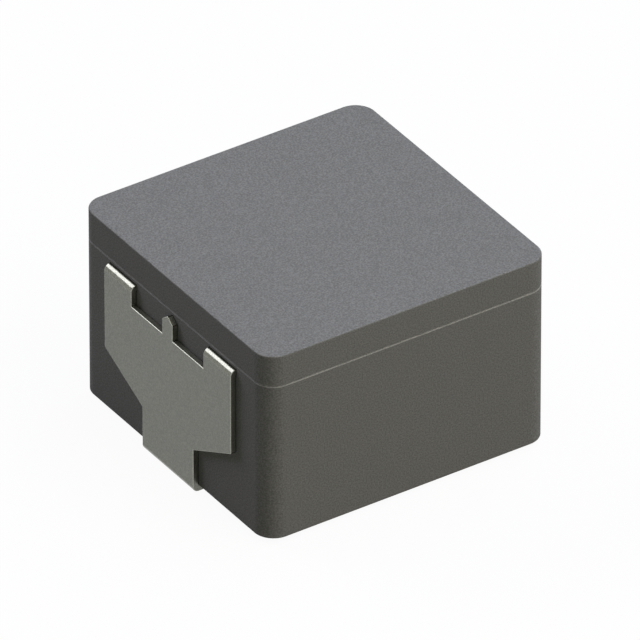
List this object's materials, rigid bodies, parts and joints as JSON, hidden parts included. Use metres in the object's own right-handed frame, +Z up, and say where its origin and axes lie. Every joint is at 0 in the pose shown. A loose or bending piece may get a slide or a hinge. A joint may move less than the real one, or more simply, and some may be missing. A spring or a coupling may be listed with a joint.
{
  "type": "shielded smd inductor",
  "caption": "Square block-shaped shielded power inductor with a pressed powder core and a folded sheet terminal on each end, for surface mounting.",
  "frame": {"origin": "on the board plane, under the middle of the core", "axes": "+Z up from the board, X from the left terminal to the right terminal, Y along the width of the terminals"},
  "size_m": [0.0132, 0.0126, 0.0084],
  "materials": {
    "core": "matt grey pressed iron powder, fine grained",
    "coil_wire": "enamelled copper, satin",
    "terminal": "tin-plated sheet, satin"
  },
  "bodies": {
    "root": {"lower_core": "core", "upper_core": "core", "coil_winding": "coil_wire", "terminal_left": "terminal", "terminal_right": "terminal"}
  },
  "joints": []
}
